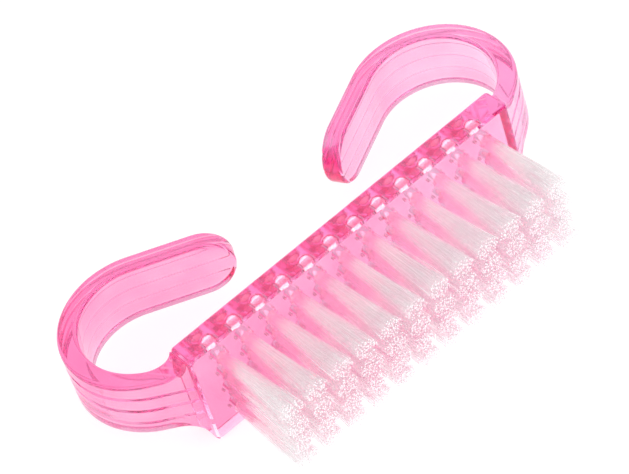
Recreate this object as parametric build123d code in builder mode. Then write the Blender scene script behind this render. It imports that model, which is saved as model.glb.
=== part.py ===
from build123d import *
import os
from math import cos, radians, sin

# A nail brush lying on its side: X runs along its length, +Y from the bristle tips to the
# finger hooks, and Z up through its width. The origin is under the middle of its box.
# Every length is in millimetres.

# Block, the flat back that holds the bristles
block_length = 50.0
block_depth = 3.8
block_width = 14.3
block_round = 0.5

# Hooks, two curled ribbons that leave the block's ends and close over its back
hook_width = 8.4
hook_thickness = 2.5
hook_round = 0.5
root_below_back = 2.9
lead_in_angle = 35.5
lead_in_length = 5.0
bend_radius = 10.5
bend_angle = 172.0
arm_length = 12.2
tip_round = 3.9
root_overlap = 1.2
shoulder_overlap = 0.6
shoulder_round = (block_width - hook_width) / 2
groove_count = 3
groove_width = 0.5
groove_depth = 0.2

# Tufts, nylon filaments folded into blind holes
column_count = 12
row_count = 4
column_pitch = 3.78
row_pitch = 2.95
hole_radius = 0.9
hole_depth = 3.3
tuft_gap = 0.05
tuft_length = 12.7
tip_radius_along = 1.65
tip_radius_across = 1.4

# Anchors, short strips of flat wire that wedge the folded tufts into the holes
anchor_length = 2.2
anchor_thickness = 0.25
anchor_height = 0.9
anchor_top_depth = 1.6

# Places worked out from the driving dimensions
middle_z = block_width / 2
slope_x, slope_y = cos(radians(lead_in_angle)), sin(radians(lead_in_angle))
bend_centre_above_back = lead_in_length * slope_y + bend_radius * slope_x - root_below_back
hook_rise = bend_centre_above_back + bend_radius
back_y = (tuft_length + block_depth - hook_rise) / 2
mouth_y = back_y - block_depth
end_x = block_length / 2
column_x = [(i - (column_count - 1) / 2) * column_pitch for i in range(column_count)]
row_z = [middle_z + (i - (row_count - 1) / 2) * row_pitch for i in range(row_count)]
# Planes that face the way a tuft points, -Y, with their own x along the brush
mouth_plane = Plane(origin=(0, mouth_y, 0), x_dir=(1, 0, 0), z_dir=(0, -1, 0))


def on_ribbon(depth):
    """Root of a line that runs along the ribbon, this far in from its outer face."""
    return Vector(end_x - depth * slope_y, back_y - root_below_back + depth * slope_x)


def ribbon_face(depth, thickness, z):
    """Sketch of a strip of the hook's side view, centred this deep under its outer face."""
    slope = Vector(slope_x, slope_y)
    with BuildSketch(Plane.XY.offset(z)) as sketch:
        with BuildLine() as route:
            root = on_ribbon(depth)
            lead_in = Line(root - slope * root_overlap, root + slope * lead_in_length)
            bend = JernArc(lead_in @ 1, slope, bend_radius - depth, bend_angle)
            Line(bend @ 1, bend @ 1 + (bend % 1) * arm_length)
        trace(route.edges(), thickness)
    return sketch.sketch


def at_hole(x, z, depth=0.0):
    """Plane in a hole, its normal out of the mouth, this deep under the bristle face."""
    return mouth_plane.offset(-depth).shift_origin((x, mouth_y + depth, z))


# Block with softly rounded edges
with BuildPart() as block:
    with BuildSketch(Plane.XY):
        with Locations((0, back_y - block_depth / 2)):
            Rectangle(block_length, block_depth)
    extrude(amount=block_width)
    fillet(block.edges(), block_round)

# Right-hand hook: ribbon, round tip, rounded long edges and grooves along its outer face
with BuildPart() as hook:
    add(ribbon_face(hook_thickness / 2, hook_thickness, middle_z - hook_width / 2))
    extrude(amount=hook_width)
    arm_end = hook.faces().filter_by(Axis.Z, reverse=True).sort_by(Axis.X)[0]
    fillet(arm_end.edges().filter_by(Axis.Z, reverse=True), tip_round)
    side_edges = hook.edges().filter_by(Axis.Z, reverse=True)
    long_edges = side_edges.filter_by(lambda edge: edge.length > 1.01 * hook_thickness)
    fillet(long_edges, hook_round)
    for i in range(groove_count):
        groove_z = middle_z + (i - (groove_count - 1) / 2) * hook_width / (groove_count + 1)
        add(ribbon_face(0, 2 * groove_depth, groove_z - groove_width / 2))
        extrude(amount=groove_width, mode=Mode.SUBTRACT)

# Shoulders that widen the hook's root to the block's full width with hollow corners
with BuildPart() as shoulders:
    with BuildSketch(Plane.XY):
        with BuildLine() as slab_route:
            slab_root = on_ribbon(hook_thickness / 2)
            slope = Vector(slope_x, slope_y)
            Line(slab_root - slope * root_overlap, slab_root + slope * lead_in_length)
        trace(slab_route.edges(), hook_thickness)
    extrude(amount=block_width)
    with BuildSketch(Plane.XZ) as plan:
        with Locations((end_x + shoulder_round / 2, middle_z)):
            Rectangle(shoulder_round, block_width)
        with Locations((end_x + shoulder_round, 0), (end_x + shoulder_round, block_width)):
            Circle(shoulder_round, mode=Mode.SUBTRACT)
        with Locations((end_x - shoulder_overlap / 2, middle_z)):
            Rectangle(shoulder_overlap, block_width - 2 * block_round)
    extrude(amount=block_length, both=True, mode=Mode.INTERSECT)

# Handle: block, hooks and shoulders are one moulding, with blind holes for the tufts
with BuildPart() as handle:
    add(hook.part)
    add(shoulders.part)
    mirror(about=Plane.YZ)
    add(block.part)
    with BuildSketch(at_hole(0, middle_z)):
        with GridLocations(column_pitch, row_pitch, column_count, row_count):
            Circle(hole_radius)
    extrude(amount=-hole_depth, mode=Mode.SUBTRACT)
    with BuildSketch(at_hole(0, middle_z)):
        with GridLocations(column_pitch, row_pitch, column_count, row_count):
            Rectangle(anchor_length, anchor_thickness)
    extrude(amount=-(anchor_top_depth + anchor_height), mode=Mode.SUBTRACT)
handle.part.label = "handle"


def make_tuft(x, z):
    """Closed solid of one tuft: a round foot in its hole, then a flaring bundle."""
    with BuildPart() as tuft:
        with BuildSketch(at_hole(x, z)):
            Circle(hole_radius - tuft_gap)
        extrude(amount=-hole_depth)
        with BuildSketch(at_hole(x, z)):
            Circle(hole_radius - tuft_gap)
        with BuildSketch(at_hole(x, z, -tuft_length)):
            Ellipse(tip_radius_along, tip_radius_across)
        loft()
        with BuildSketch(at_hole(x, z, anchor_top_depth)):
            Rectangle(anchor_length, anchor_thickness)
        extrude(amount=-anchor_height, mode=Mode.SUBTRACT)
    return tuft.part


def make_anchor_row(z):
    """The anchors of one row of tufts, as separate solids."""
    with BuildPart() as anchors:
        with BuildSketch(at_hole(0, z, anchor_top_depth)):
            with GridLocations(column_pitch, 0, column_count, 1):
                Rectangle(anchor_length, anchor_thickness)
        extrude(amount=-anchor_height)
    return anchors.part


os.makedirs("parts", exist_ok=True)
export_step(handle.part, "parts/handle.step")
for row, z in enumerate(row_z, start=1):
    anchor_row = make_anchor_row(z)
    anchor_row.label = f"anchors_row_{row}"
    export_step(anchor_row, f"parts/{anchor_row.label}.step")
    for column, x in enumerate(column_x, start=1):
        tuft = make_tuft(x, z)
        tuft.label = f"tuft_row_{row}_column_{column:02d}"
        export_step(tuft, f"parts/{tuft.label}.step")

whole = handle.part.bounding_box()
print("handle volume", round(handle.part.volume, 1), "solids", len(handle.part.solids()))
print("handle box", whole.min, whole.max, "back_y", round(back_y, 4))
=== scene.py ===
import random
from math import asin, atan, cos, degrees, pi, radians, sin, sqrt, tan

import bmesh
import bpy
import numpy as np
from mathutils import Matrix, Vector


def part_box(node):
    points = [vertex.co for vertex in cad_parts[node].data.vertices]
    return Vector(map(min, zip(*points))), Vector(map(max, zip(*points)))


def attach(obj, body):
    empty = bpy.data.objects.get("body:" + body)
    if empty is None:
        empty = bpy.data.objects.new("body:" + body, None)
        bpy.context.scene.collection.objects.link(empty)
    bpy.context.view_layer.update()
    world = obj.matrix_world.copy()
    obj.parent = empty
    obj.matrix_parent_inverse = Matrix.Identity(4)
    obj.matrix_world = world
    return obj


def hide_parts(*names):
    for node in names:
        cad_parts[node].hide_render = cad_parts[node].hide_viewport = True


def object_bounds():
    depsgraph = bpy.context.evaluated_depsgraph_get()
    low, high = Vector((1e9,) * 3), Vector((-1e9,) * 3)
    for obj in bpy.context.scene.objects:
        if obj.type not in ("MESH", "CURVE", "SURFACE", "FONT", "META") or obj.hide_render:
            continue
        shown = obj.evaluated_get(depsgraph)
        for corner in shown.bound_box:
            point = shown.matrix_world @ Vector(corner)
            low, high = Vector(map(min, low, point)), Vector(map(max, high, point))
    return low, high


# An acrylic nail brush lying on its side. X runs along it, +Y from the bristle tips to the
# finger hooks, and Z up through its width. Lengths are in millimetres until a mesh is linked.
mm = 0.001

# Block that holds the bristles
block_depth = 3.8
block_round = 0.5
round_steps = 4

# Hooks, two curled ribbons
hook_width = 8.4
hook_thickness = 2.5
hook_round = 0.5
root_below_back = 2.9
lead_in_angle = radians(35.5)
lead_in_length = 5.0
bend_radius = 10.5
bend_angle = radians(172.0)
arm_length = 12.2
root_overlap = 0.6
groove_pitch = hook_width / 4
groove_half_width = 0.28
groove_floor_half_width = 0.07
groove_depth = 0.2

# Holes and anchors
column_count = 12
row_count = 4
hole_radius = 0.9
hole_depth = 3.3
hole_chamfer = 0.05
hole_floor_round = 0.85
hole_sides = 32
anchor_top_depth = 1.6

# Filaments
fold_count = 34
filament_radius = 0.09
filament_sides = 7
fold_steps = 6

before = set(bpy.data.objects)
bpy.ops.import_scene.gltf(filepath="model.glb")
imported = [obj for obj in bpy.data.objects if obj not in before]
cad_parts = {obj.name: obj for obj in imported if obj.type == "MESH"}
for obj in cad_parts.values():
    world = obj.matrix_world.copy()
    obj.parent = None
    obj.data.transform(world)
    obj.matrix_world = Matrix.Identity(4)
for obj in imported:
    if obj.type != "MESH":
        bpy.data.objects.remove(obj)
cad_low, cad_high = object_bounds()


def box_of(node):
    """Lowest and highest corner of a CAD node, in millimetres."""
    low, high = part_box(node)
    return low / mm, high / mm


handle_low, handle_high = box_of("handle")
anchors_low, anchors_high = box_of("anchors_row_1")
tuft_low, tuft_high = box_of("tuft_row_1_column_01")
last_tuft_low, last_tuft_high = box_of(f"tuft_row_{row_count}_column_{column_count:02d}")

block_length = 50.0
block_width = handle_high.z - handle_low.z
middle_z = (handle_low.z + handle_high.z) / 2
end_x = block_length / 2
mouth_y = handle_low.y
back_y = mouth_y + block_depth
tuft_length = mouth_y - tuft_low.y
tip_radius_along = (tuft_high.x - tuft_low.x) / 2
tip_radius_across = (tuft_high.z - tuft_low.z) / 2
shoulder_round = (block_width - hook_width) / 2
anchor_height = anchors_high.y - anchors_low.y
anchor_thickness = anchors_high.z - anchors_low.z
column_pitch = (last_tuft_low.x - tuft_low.x) / (column_count - 1)
row_pitch = (last_tuft_low.z - tuft_low.z) / (row_count - 1)
anchor_length = anchors_high.x - anchors_low.x - (column_count - 1) * column_pitch


def link_mesh(name, bm, smooth=True):
    """A new object in the scene from a bmesh, which is freed."""
    mesh = bpy.data.meshes.new(name)
    bm.to_mesh(mesh)
    bm.free()
    mesh.shade_smooth() if smooth else mesh.shade_flat()
    made = bpy.data.objects.new(name, mesh)
    bpy.context.scene.collection.objects.link(made)
    return made


# ---------------------------------------------------------------- handle


def ribbon_point(along, depth):
    """(x, y) of the right-hand hook, this far along its middle and this deep under its outer face."""
    middle_radius = bend_radius - hook_thickness / 2
    turn = min(max((along - lead_in_length) / middle_radius, 0), bend_angle)
    straight = along - lead_in_length - turn * middle_radius
    start = Vector((cos(lead_in_angle), sin(lead_in_angle)))
    centre = Vector((end_x, back_y - root_below_back)) + start * lead_in_length
    centre += Vector((-start.y, start.x)) * bend_radius
    heading = lead_in_angle + turn
    ahead = Vector((cos(heading), sin(heading)))
    inward = Vector((-ahead.y, ahead.x))
    return centre - inward * (bend_radius - depth) + ahead * straight


def flare_half_width(x):
    """Half the width of the hook's root, which widens to the block in hollow corners."""
    reach = end_x + shoulder_round - x
    if reach <= 0:
        return hook_width / 2
    hollow = sqrt(max(shoulder_round**2 - reach**2, 0))
    return min(block_width / 2 - block_round, block_width / 2 - hollow)


def groove_depth_at(z):
    """Depth of the outer face's grooves, this far from the ribbon's middle line."""
    nearest = min(abs(z - groove * groove_pitch) for groove in (-1, 0, 1))
    slope = (groove_half_width - nearest) / (groove_half_width - groove_floor_half_width)
    return groove_depth * min(max(slope, 0), 1)


def cap_lines():
    """Places across the ribbon's flat faces, close together at grooves and towards the edges."""
    cap_half = hook_width / 2 - hook_round
    edges = [groove_floor_half_width, groove_half_width]
    edges += [groove_pitch + offset * side for side in (-1, 1) for offset in edges]
    stops = sorted(edges) + [cap_half]
    angles = []
    for low, high in zip(stops, stops[1:]):
        first, last = asin(low / cap_half), asin(high / cap_half)
        steps = max(1, round((last - first) / radians(6.5)))
        angles += [first + (last - first) * i / steps for i in range(steps)]
    angles.append(pi / 2)
    half = [sin(angle) * cap_half for angle in angles]
    return [-z for z in reversed(half)] + half


def along_lines():
    """(distance along, slant) of the ribbon's cross lines. A slant of 1 keeps a line at one x."""
    lines = [(-root_overlap / cos(lead_in_angle), 1.0)]
    flare_steps = 12
    first = asin(block_round / shoulder_round)
    for i in range(flare_steps + 1):
        corner = first + (pi / 2 - first) * i / flare_steps
        lines.append((shoulder_round * (1 - cos(corner)) / cos(lead_in_angle), 1.0))
    ease_steps = 10
    ease_pitch = 0.5
    for i in range(1, ease_steps + 1):
        lines.append((lines[-1][0] + ease_pitch, 1 - i / ease_steps))
    middle_radius = bend_radius - hook_thickness / 2
    bend_end = lead_in_length + middle_radius * bend_angle
    steps = round((bend_end - lines[-1][0]) / 0.4)
    start = lines[-1][0]
    lines += [(start + (bend_end - start) * i / steps, 0.0) for i in range(1, steps + 1)]
    tip_centre = bend_end + arm_length - hook_width / 2
    steps = 11
    lines += [(bend_end + (tip_centre - bend_end) * i / steps, 0.0) for i in range(1, steps + 1)]
    return lines


def rim_profile():
    """(outwards, depth) round the ribbon's long edge, from its outer face to its inner face."""
    turns = [pi / 2 * i / round_steps for i in range(round_steps + 1)]
    top = [(hook_round * sin(turn), hook_round * (1 - cos(turn))) for turn in turns]
    return top + [(out, hook_thickness - depth) for out, depth in reversed(top)]


def make_hook_mesh(side):
    """Closed mesh of one hook, a ribbon of quads with a round tip, its root inside the block."""
    bm = bmesh.new()
    across, along, rim = cap_lines(), along_lines(), rim_profile()
    cap_half = across[-1]
    tip_centre = along[-1][0]
    flat_half = groove_pitch + groove_half_width

    def vertex(distance, slant, z, depth):
        point = ribbon_point(distance + slant * depth * tan(lead_in_angle), depth)
        share = min(max((abs(z) - flat_half) / (cap_half - flat_half), 0), 1)
        flare = flare_half_width(point.x) - hook_width / 2 if slant > 0 else 0
        widened = z + (1 if z > 0 else -1) * share * flare
        return bm.verts.new((side * point.x, point.y, middle_z + widened))

    def skin(rows):
        for one, two in zip(rows, rows[1:]):
            for corners in zip(one, one[1:], two[1:], two):
                bm.faces.new(corners)

    tip_reach = [sqrt(max(cap_half**2 - z**2, 0)) for z in across]
    for outer in (True, False):
        rows = []
        for distance, slant in along:
            depths = [groove_depth_at(z) if outer else hook_thickness for z in across]
            rows.append([vertex(distance, slant, z, d) for z, d in zip(across, depths)])
        rows.append([vertex(tip_centre + reach, 0, z, d) for z, d, reach in zip(across, depths, tip_reach)])
        skin(rows)
    for z_side in (-1, 1):
        rows = []
        for distance, slant in along:
            rows.append([vertex(distance, slant, z_side * (cap_half + out), d) for out, d in rim])
        skin(rows)
    rows = []
    for z, reach in zip(across, tip_reach):
        grow = [(cap_half + out) / cap_half for out, _ in rim]
        depths = [max(d, groove_depth_at(z)) for _, d in rim]
        rows.append([vertex(tip_centre + reach * g, 0, z * g, d) for g, d in zip(grow, depths)])
    skin(rows)
    bmesh.ops.remove_doubles(bm, verts=bm.verts, dist=0.001)
    bmesh.ops.dissolve_degenerate(bm, edges=bm.edges, dist=0.0005)
    open_edges = [edge for edge in bm.edges if edge.is_boundary]
    bmesh.ops.edgeloop_fill(bm, edges=open_edges)
    bmesh.ops.recalc_face_normals(bm, faces=bm.faces)
    return link_mesh("hook_build", bm)


def make_block_mesh():
    """The block with rounded edges."""
    bm = bmesh.new()
    bmesh.ops.create_cube(bm, size=1)
    bmesh.ops.scale(bm, vec=(block_length, block_depth, block_width), verts=bm.verts)
    bmesh.ops.translate(bm, vec=(0, back_y - block_depth / 2, middle_z), verts=bm.verts)
    bmesh.ops.bevel(
        bm, geom=bm.edges, offset=block_round, segments=round_steps, profile=0.5, affect="EDGES"
    )
    return link_mesh("block_build", bm)


def tuft_places():
    """(row, column, x, z) of every tuft."""
    first_x = (tuft_low.x + tuft_high.x) / 2
    first_z = (tuft_low.z + tuft_high.z) / 2
    for row in range(row_count):
        for column in range(column_count):
            yield row + 1, column + 1, first_x + column * column_pitch, first_z + row * row_pitch


def make_hole_cutters():
    """Every tuft's blind hole, with a small chamfer at its mouth and a rounded floor."""
    bm = bmesh.new()
    floor_steps = 6
    levels = [(-hole_chamfer, hole_radius + 2 * hole_chamfer), (hole_chamfer, hole_radius)]
    for i in range(floor_steps + 1):
        turn = pi / 2 * i / floor_steps
        depth = hole_depth - hole_floor_round * (1 - sin(turn))
        levels.append((depth, hole_radius - hole_floor_round * (1 - cos(turn))))
    for _, _, x, z in tuft_places():
        rings = []
        for depth, radius in levels:
            turns = [2 * pi * i / hole_sides for i in range(hole_sides)]
            rings.append(
                [bm.verts.new((x + radius * cos(t), mouth_y + depth, z + radius * sin(t))) for t in turns]
            )
        for one, two in zip(rings, rings[1:]):
            for i in range(hole_sides):
                j = (i + 1) % hole_sides
                bm.faces.new((one[i], one[j], two[j], two[i]))
        bm.faces.new(rings[0])
        bm.faces.new(rings[-1])
    bmesh.ops.recalc_face_normals(bm, faces=bm.faces)
    return link_mesh("hole_build", bm)


def boolean(target, tool, operation):
    """Joins a tool to the target or cuts it away, and removes the tool."""
    modifier = target.modifiers.new("boolean", "BOOLEAN")
    modifier.operation = operation
    modifier.solver = "EXACT"
    modifier.object = tool
    graph = bpy.context.evaluated_depsgraph_get()
    mesh = bpy.data.meshes.new_from_object(target.evaluated_get(graph))
    target.modifiers.clear()
    target.data = mesh
    bpy.data.objects.remove(tool)


def mark_holes(mesh):
    """Gives the faces of the holes the handle's second material and the block's ends its third."""
    skin = 0.02 * mm
    inner_x, inner_z = end_x * mm - skin, block_width / 2 * mm - skin
    for face in mesh.polygons:
        x, y, z = face.center
        in_hole = mouth_y * mm + skin < y < (mouth_y + hole_depth) * mm + skin
        if in_hole and abs(x) < inner_x and abs(z - middle_z * mm) < inner_z:
            face.material_index = 1
        elif y < back_y * mm and abs(face.normal.x) > 0.7 and end_x - block_round < abs(x) / mm < end_x + 0.01:
            face.material_index = 2


def make_handle():
    """Block and hooks as one clear moulding with the tufts' holes in it."""
    piece = make_block_mesh()
    for side in (-1, 1):
        boolean(piece, make_hook_mesh(side), "UNION")
    boolean(piece, make_hole_cutters(), "DIFFERENCE")
    piece.name = "clear_handle"
    piece.data.name = "clear_handle"
    piece.data.transform(Matrix.Scale(mm, 4))
    piece.data.set_sharp_from_angle(angle=radians(30))
    mark_holes(piece.data)
    flats = piece.modifiers.new("flats", "WEIGHTED_NORMAL")
    flats.keep_sharp = True
    return piece


# ---------------------------------------------------------------- tufts


def disc_places(count, turn):
    """Evenly spread points of a disc of radius 1, as a sunflower's seeds lie."""
    golden = pi * (3 - sqrt(5))
    radii = [sqrt((i + 0.5) / count) for i in range(count)]
    return [(r * cos(i * golden + turn), r * sin(i * golden + turn)) for i, r in enumerate(radii)]


def leg_line(chance, foot, mouth, tip):
    """Points (x, depth, z) of one leg of a folded filament, from the fold out to its cut end.
    Depth is measured into the hole, so it is negative outside."""
    hole_steps, free_steps = 3, 11
    top = anchor_top_depth + anchor_height
    line = []
    for i in range(hole_steps):
        share = i / hole_steps
        x, z = (a + (b - a) * share for a, b in zip(foot, mouth))
        line.append((x, top * (1 - share), z))
    length = tuft_length - abs(chance.gauss(0, 0.22))
    sway = [chance.gauss(0, 0.1) for _ in range(2)]
    kink = [chance.gauss(0, 0.07) for _ in range(2)]
    spread = chance.uniform(1.0, 1.25)
    for i in range(free_steps + 1):
        share = i / free_steps
        bow = sin(pi * share)
        late = max(share - 0.8, 0) / 0.2
        x, z = (
            a + (b - a) * share**spread + s * bow + k * late
            for a, b, s, k in zip(mouth, tip, sway, kink)
        )
        line.append((x, -length * share, z))
    return line


def filament_lines(seed):
    """Centre lines of one tuft's filaments, each folded round the anchor, about the hole's mouth."""
    chance = random.Random(seed)
    turn = chance.uniform(0, 2 * pi)
    inside = hole_radius - filament_radius - 0.03
    clear = anchor_thickness / 2 + filament_radius
    places = [p for p in disc_places(2 * fold_count, turn)]
    upper = sorted((p for p in places), key=lambda p: p[1])
    pairs = list(zip(sorted(upper[:fold_count]), sorted(upper[fold_count:])))
    lines = []
    for low, high in pairs:
        legs = []
        shared_x = (low[0] + high[0]) / 2 * inside
        for place in (low, high):
            side = 1 if place is high else -1
            reach = sqrt(max(inside**2 - shared_x**2, 0))
            foot_z = side * (clear + max(reach - clear, 0) * min(abs(place[1]), 1))
            mouth = (place[0] * inside, place[1] * inside)
            jitter = [chance.gauss(0, 0.05) for _ in range(2)]
            tip = (
                place[0] * (tip_radius_along - filament_radius) + jitter[0],
                place[1] * (tip_radius_across - filament_radius) + jitter[1],
            )
            legs.append(leg_line(chance, (shared_x, foot_z), mouth, tip))
        top = anchor_top_depth + anchor_height
        low_z, high_z = legs[0][0][2], legs[1][0][2]
        sag = min(0.12 + 0.45 * (high_z - low_z - 2 * clear), hole_depth - top - 1.5 * filament_radius)
        fold = []
        for i in range(1, fold_steps):
            swing = pi * i / fold_steps
            z = (low_z + high_z) / 2 - (high_z - low_z) / 2 * cos(swing)
            fold.append((shared_x, top + sag * sin(swing), z))
        lines.append(list(reversed(legs[0])) + fold + legs[1])
    return np.array(lines)


def tube_mesh(name, lines, shades):
    """One mesh of closed round tubes along the lines, with a shade of its own for each tube."""
    count, steps = lines.shape[:2]
    ahead = np.gradient(lines, axis=1)
    ahead /= np.linalg.norm(ahead, axis=2, keepdims=True)
    side = np.array([1.0, 0, 0]) - ahead[:, :, :1] * ahead
    side /= np.linalg.norm(side, axis=2, keepdims=True)
    other = np.cross(ahead, side)
    turns = 2 * pi * np.arange(filament_sides) / filament_sides
    ring = np.cos(turns)[:, None] * side[:, :, None] + np.sin(turns)[:, None] * other[:, :, None]
    points = lines[:, :, None] + ring * filament_radius
    first = np.arange(count * steps * filament_sides).reshape(count, steps, filament_sides)
    here, there = first[:, :-1], first[:, 1:]
    quads = np.stack(
        [here, np.roll(here, -1, 2), np.roll(there, -1, 2), there], axis=-1
    ).reshape(-1, 4)
    faces = quads.tolist() + first[:, 0, ::-1].tolist() + first[:, -1].tolist()
    mesh = bpy.data.meshes.new(name)
    mesh.from_pydata((points.reshape(-1, 3) * mm).tolist(), [], faces)
    kinds = np.zeros((count, steps - 1, filament_sides), dtype=int)
    first_fold = (steps - 1 - fold_steps) // 2
    kinds[:, first_fold:first_fold + fold_steps] = 2
    ends = np.ones(2 * count, dtype=int)
    mesh.polygons.foreach_set("material_index", np.concatenate([kinds.ravel(), ends]))
    per_tube = (steps - 1) * filament_sides
    tube_of_face = np.concatenate([np.repeat(shades, per_tube), shades, shades])
    mesh.attributes.new("strand", "FLOAT", "FACE").data.foreach_set("value", tube_of_face)
    return mesh


def make_tuft(row, column, x, z):
    """One tuft of folded filaments, which stands for its CAD solid."""
    lines = filament_lines(f"tuft {row} {column}")
    placed = np.empty_like(lines)
    placed[:, :, 0] = x + lines[:, :, 0]
    placed[:, :, 1] = mouth_y + lines[:, :, 1]
    placed[:, :, 2] = z + lines[:, :, 2]
    name = f"bristles_row_{row}_column_{column:02d}"
    chance = random.Random(f"shades {row} {column}")
    shades = [chance.uniform(-0.25, 0.25) for _ in lines]
    piece = bpy.data.objects.new(name, tube_mesh(name, placed, shades))
    bpy.context.scene.collection.objects.link(piece)
    return piece


# ---------------------------------------------------------------- materials


def new_material(name):
    """A node material with its Principled shader, and a function that adds and links nodes."""
    material = bpy.data.materials.new(name)
    material.use_nodes = True
    tree = material.node_tree
    return material, tree, tree.nodes["Principled BSDF"]


def add_node(tree, kind, **inputs):
    """A node with its inputs set: a value, or another node's output to link."""
    node = tree.nodes.new(kind)
    for name, value in inputs.items():
        socket = node.inputs[name.replace("_", " ")]
        if isinstance(value, bpy.types.NodeSocket):
            tree.links.new(value, socket)
        else:
            socket.default_value = value
    return node


def clear_pink_plastic(name, smoothest, roughest):
    """Pink acrylic: clear, a little cloudy, deeper where light goes a long way through it."""
    material, tree, shader = new_material(name)
    shader.inputs["Transmission Weight"].default_value = 0.96
    shader.inputs["IOR"].default_value = 1.49
    where = tree.nodes.new("ShaderNodeTexCoord").outputs["Object"]
    clouds = add_node(tree, "ShaderNodeTexNoise", Vector=where, Scale=70.0, Detail=3.0, Roughness=0.6)
    split = add_node(tree, "ShaderNodeSeparateXYZ", Vector=where)
    along = add_node(tree, "ShaderNodeMapRange", Value=split.outputs["X"])
    along.inputs["From Min"].default_value = cad_low.x
    along.inputs["From Max"].default_value = cad_high.x
    along.inputs["To Min"].default_value = -0.12
    along.inputs["To Max"].default_value = 0.12
    depth = add_node(tree, "ShaderNodeMath")
    tree.links.new(clouds.outputs["Fac"], depth.inputs[0])
    tree.links.new(along.outputs["Result"], depth.inputs[1])
    tint = add_node(tree, "ShaderNodeValToRGB", Fac=depth.outputs["Value"])
    tint.color_ramp.elements[0].position = 0.35
    tint.color_ramp.elements[0].color = (1, 0.42, 0.64, 1)
    tint.color_ramp.elements[1].position = 0.68
    tint.color_ramp.elements[1].color = (1, 0.74, 0.88, 1)
    tree.links.new(tint.outputs["Color"], shader.inputs["Base Color"])
    patches = add_node(tree, "ShaderNodeTexNoise", Vector=where, Scale=180.0, Detail=4.0)
    polished = add_node(tree, "ShaderNodeMapRange", Value=patches.outputs["Fac"])
    polished.inputs["To Min"].default_value = smoothest
    polished.inputs["To Max"].default_value = roughest
    tree.links.new(polished.outputs["Result"], shader.inputs["Roughness"])
    absorb_light(tree)
    return material


def absorb_light(tree):
    """Pink colour in the depth of the plastic."""
    absorption = tree.nodes.new("ShaderNodeVolumeAbsorption")
    absorption.inputs["Color"].default_value = (0.98, 0.05, 0.65, 1)
    absorption.inputs["Density"].default_value = 75.0
    output = tree.nodes["Material Output"]
    tree.links.new(absorption.outputs["Volume"], output.inputs["Volume"])


def hole_plastic():
    """The same acrylic where it clings to the nylon in a hole, so that it hardly bends light."""
    material, tree, shader = new_material("acrylic_in_hole")
    shader.inputs["Transmission Weight"].default_value = 1.0
    shader.inputs["IOR"].default_value = 1.15
    where = tree.nodes.new("ShaderNodeTexCoord").outputs["Object"]
    grain = add_node(tree, "ShaderNodeTexNoise", Vector=where, Scale=900.0, Detail=3.0)
    tint = add_node(tree, "ShaderNodeValToRGB", Fac=grain.outputs["Fac"])
    tint.color_ramp.elements[0].color = (1, 0.94, 0.97, 1)
    tint.color_ramp.elements[1].color = (1, 1, 1, 1)
    tree.links.new(tint.outputs["Color"], shader.inputs["Base Color"])
    rubbed = add_node(tree, "ShaderNodeMapRange", Value=grain.outputs["Fac"])
    rubbed.inputs["To Min"].default_value = 0.0
    rubbed.inputs["To Max"].default_value = 0.0 + 0.05
    tree.links.new(rubbed.outputs["Result"], shader.inputs["Roughness"])
    absorb_light(tree)
    return material


def frosted_nylon():
    """White nylon filament, tinted pink near the root by painted light that it carries from the pink block,
    greyed by painted shade just before the tips, and given a faint painted glow that is strongest at the tips.
    """
    material, tree, shader = new_material("clear_nylon")
    where = tree.nodes.new("ShaderNodeTexCoord").outputs["Object"]
    split = add_node(tree, "ShaderNodeSeparateXYZ", Vector=where)
    share = add_node(tree, "ShaderNodeMapRange", Value=split.outputs["Y"])
    share.inputs["From Min"].default_value = (mouth_y - tuft_length) * mm
    share.inputs["From Max"].default_value = mouth_y * mm
    strand = tree.nodes.new("ShaderNodeAttribute")
    strand.attribute_name = "strand"
    depth = add_node(tree, "ShaderNodeMath")
    tree.links.new(share.outputs["Result"], depth.inputs[0])
    tree.links.new(strand.outputs["Fac"], depth.inputs[1])
    ramp = add_node(tree, "ShaderNodeValToRGB", Fac=depth.outputs["Value"])
    colours = ramp.color_ramp.elements
    colours[0].color = (1, 1, 1, 1)
    colours[0].position = 0.03
    # Near the root, a faint painted pink for light carried from the block.
    colours[1].color = (1, 0.975, 0.988, 1)
    colours[1].position = 0.9
    # Just before the tips, painted grey shade.
    painted_shade_stop = colours.new(0.2)
    painted_shade_stop.color = (0.965, 0.96, 0.963, 1)
    cream = colours.new(0.6)
    cream.color = (1, 0.992, 0.989, 1)
    tree.links.new(ramp.outputs["Color"], shader.inputs["Base Color"])
    # Painted glow, strongest at the cut ends and faint along the rest of the filament.
    glow = add_node(tree, "ShaderNodeMapRange", Value=share.outputs["Result"])
    glow.inputs["From Min"].default_value = 0.0
    glow.inputs["From Max"].default_value = 0.18
    glow.inputs["To Min"].default_value = 0.009
    glow.inputs["To Max"].default_value = 0.002
    tree.links.new(glow.outputs["Result"], shader.inputs["Emission Strength"])
    shader.inputs["Emission Color"].default_value = (1, 0.95, 0.97, 1)
    shader.inputs["Transmission Weight"].default_value = 1.0
    shader.inputs["IOR"].default_value = 1.53
    shader.inputs["Roughness"].default_value = 0.0
    return material


def cut_nylon():
    """Rough white faces where the filaments were cut, with a painted glow that stands for the light that the
    filaments carry.
    """
    material, tree, shader = new_material("cut_nylon")
    where = tree.nodes.new("ShaderNodeTexCoord").outputs["Object"]
    grain = add_node(tree, "ShaderNodeTexNoise", Vector=where, Scale=9000.0, Detail=2.0)
    ramp = add_node(tree, "ShaderNodeValToRGB", Fac=grain.outputs["Fac"])
    ramp.color_ramp.elements[0].color = (0.86, 0.71, 0.76, 1)
    ramp.color_ramp.elements[0].position = 0.35
    ramp.color_ramp.elements[1].color = (1, 0.97, 0.97, 1)
    ramp.color_ramp.elements[1].position = 0.65
    tree.links.new(ramp.outputs["Color"], shader.inputs["Base Color"])
    # Painted glow in the cut faces' own colour.
    tree.links.new(ramp.outputs["Color"], shader.inputs["Emission Color"])
    shader.inputs["Emission Strength"].default_value = 0.15
    shader.inputs["Roughness"].default_value = 0.6
    return material


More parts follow.
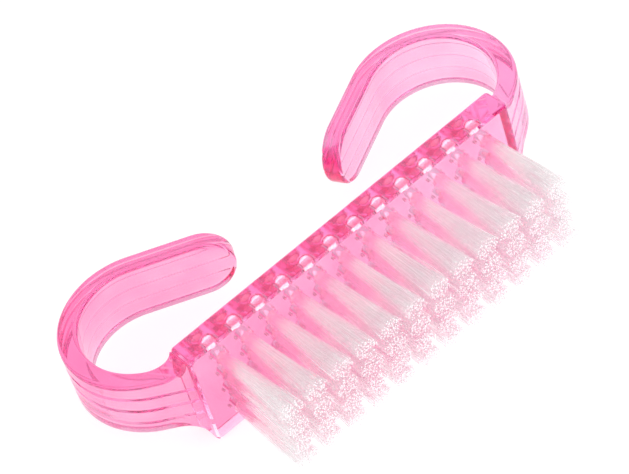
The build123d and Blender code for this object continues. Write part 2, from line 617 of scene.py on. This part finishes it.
def bent_nylon():
    """Nylon whitened where it is folded tightly round an anchor, with a painted glow that grows stronger
    towards the upper rows.
    """
    material, tree, shader = new_material("bent_nylon")
    where = tree.nodes.new("ShaderNodeTexCoord").outputs["Object"]
    grain = add_node(tree, "ShaderNodeTexNoise", Vector=where, Scale=3000.0, Detail=2.0)
    ramp = add_node(tree, "ShaderNodeValToRGB", Fac=grain.outputs["Fac"])
    ramp.color_ramp.elements[0].color = (0.95, 0.88, 0.86, 1)
    ramp.color_ramp.elements[1].color = (1, 0.97, 0.94, 1)
    tree.links.new(ramp.outputs["Color"], shader.inputs["Base Color"])
    tree.links.new(ramp.outputs["Color"], shader.inputs["Emission Color"])
    # Painted glow in the folds, stronger towards the upper rows of holes.
    split = add_node(tree, "ShaderNodeSeparateXYZ", Vector=where)
    lit = add_node(tree, "ShaderNodeMapRange", Value=split.outputs["Z"])
    lit.inputs["From Min"].default_value = (middle_z + row_pitch / 2) * mm
    lit.inputs["From Max"].default_value = (middle_z + 1.5 * row_pitch) * mm
    lit.inputs["To Min"].default_value = 0.05
    lit.inputs["To Max"].default_value = 0.4
    tree.links.new(lit.outputs["Result"], shader.inputs["Emission Strength"])
    shader.inputs["Roughness"].default_value = 0.5
    return material


def anchor_wire():
    """Dull drawn wire, a little streaked along its length."""
    material, tree, shader = new_material("drawn_wire")
    where = tree.nodes.new("ShaderNodeTexCoord").outputs["Object"]
    streaks = add_node(tree, "ShaderNodeMapping", Vector=where, Scale=(300, 8000, 8000))
    grain = add_node(tree, "ShaderNodeTexNoise", Vector=streaks.outputs["Vector"], Scale=1.0)
    tint = add_node(tree, "ShaderNodeValToRGB", Fac=grain.outputs["Fac"])
    tint.color_ramp.elements[0].color = (0.7, 0.66, 0.65, 1)
    tint.color_ramp.elements[1].color = (0.92, 0.88, 0.86, 1)
    dullness = add_node(tree, "ShaderNodeMapRange", Value=grain.outputs["Fac"])
    dullness.inputs["To Min"].default_value = 0.3
    dullness.inputs["To Max"].default_value = 0.5
    tree.links.new(tint.outputs["Color"], shader.inputs["Base Color"])
    tree.links.new(dullness.outputs["Result"], shader.inputs["Roughness"])
    shader.inputs["Metallic"].default_value = 1
    return material


def white_table():
    """Softly glowing white tabletop."""
    material, tree, shader = new_material("white_table")
    shader.inputs["Base Color"].default_value = (0.4, 0.4, 0.4, 1)
    shader.inputs["Roughness"].default_value = 0.9
    shader.inputs["Emission Color"].default_value = (1, 1, 1, 1)
    shader.inputs["Emission Strength"].default_value = 0.72
    return material


def paint(piece, *materials):
    """Gives a piece its materials, in the order that its faces number them."""
    slots = piece.data.materials
    for place, material in enumerate(materials):
        if place < len(slots):
            slots[place] = material
        else:
            slots.append(material)


# ---------------------------------------------------------------- scene


def aim(thing, target):
    """Turns a light to face a point."""
    thing.rotation_euler = (Vector(target) - thing.location).to_track_quat("-Z", "Y").to_euler()


def add_area_light(name, place, target, size, power):
    """A square softbox."""
    light = bpy.data.lights.new(name, "AREA")
    light.shape = "SQUARE"
    light.size = size
    light.energy = power
    lamp = bpy.data.objects.new(name, light)
    bpy.context.scene.collection.objects.link(lamp)
    lamp.location = place
    aim(lamp, target)
    return lamp


def make_floor():
    """A wide plain floor under the object."""
    bm = bmesh.new()
    bmesh.ops.create_grid(bm, x_segments=8, y_segments=8, size=1.5)
    bmesh.ops.translate(bm, vec=(0, 0, cad_low.z), verts=bm.verts)
    floor = link_mesh("floor", bm)
    paint(floor, white_table())


def make_lights():
    """A bright room, greyer towards the horizon, and one softbox."""
    world = bpy.data.worlds.new("studio")
    world.use_nodes = True
    bpy.context.scene.world = world
    background = world.node_tree.nodes["Background"]
    background.inputs["Strength"].default_value = 0.86
    where = world.node_tree.nodes.new("ShaderNodeTexCoord").outputs["Generated"]
    split = add_node(world.node_tree, "ShaderNodeSeparateXYZ", Vector=where)
    ramp = add_node(world.node_tree, "ShaderNodeValToRGB", Fac=split.outputs["Z"])
    shades = ramp.color_ramp.elements
    shades[0].position, shades[0].color = 0.02, (0.72, 0.72, 0.72, 1)
    shades[1].position, shades[1].color = 0.35, (1, 1, 1, 1)
    world.node_tree.links.new(ramp.outputs["Color"], background.inputs["Color"])
    reach = (cad_high - cad_low).length
    centre = (cad_low + cad_high) / 2
    front = centre + Vector((0.6, -3.0, 1.4)) * reach
    add_area_light("front_softbox", front, centre, 2.0 * reach, 0.2)


def make_camera():
    """A long lens on the brush, turned about its own axis as it was held."""
    azimuth, elevation, roll = radians(-26.95), radians(46.46), radians(-18.97)
    distance, shift_right, shift_up = 0.4251, -0.0026, 0.00172
    back = Vector((sin(azimuth) * cos(elevation), -cos(azimuth) * cos(elevation), sin(elevation)))
    level = Vector((cos(azimuth), sin(azimuth), 0))
    upright = back.cross(level)
    right = level * cos(roll) + upright * sin(roll)
    up = back.cross(right)
    data = bpy.data.cameras.new("camera")
    data.sensor_width = 36
    data.lens = 207
    data.clip_start = 0.01
    camera = bpy.data.objects.new("camera", data)
    bpy.context.scene.collection.objects.link(camera)
    centre = (cad_low + cad_high) / 2
    camera.location = centre + back * distance + right * shift_right + up * shift_up
    camera.rotation_euler = Matrix((right, up, back)).transposed().to_euler()
    bpy.context.scene.camera = camera


make_camera()
make_lights()
make_floor()

handle = make_handle()
polished_plastic = clear_pink_plastic("clear_pink_acrylic", 0.02, 0.09)
dull_plastic = clear_pink_plastic("dull_pink_acrylic", 0.35, 0.55)
paint(handle, polished_plastic, hole_plastic(), dull_plastic)
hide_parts("handle")
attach(handle, "root")

nylon = frosted_nylon()
cut_ends = cut_nylon()
folds = bent_nylon()
for row, column, x, z in tuft_places():
    tuft = make_tuft(row, column, x, z)
    paint(tuft, nylon, cut_ends, folds)
    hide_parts(f"tuft_row_{row}_column_{column:02d}")
    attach(tuft, "root")

wire = anchor_wire()
for row in range(1, row_count + 1):
    paint(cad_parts[f"anchors_row_{row}"], wire)

bpy.context.scene.view_settings.view_transform = "Standard"
# Light crosses many filaments, so its paths are long.
path_bounces = 160
cycles = bpy.context.scene.cycles
cycles.max_bounces = path_bounces
cycles.glossy_bounces = path_bounces
cycles.transmission_bounces = path_bounces
cycles.diffuse_bounces = 12
cycles.blur_glossy = 0
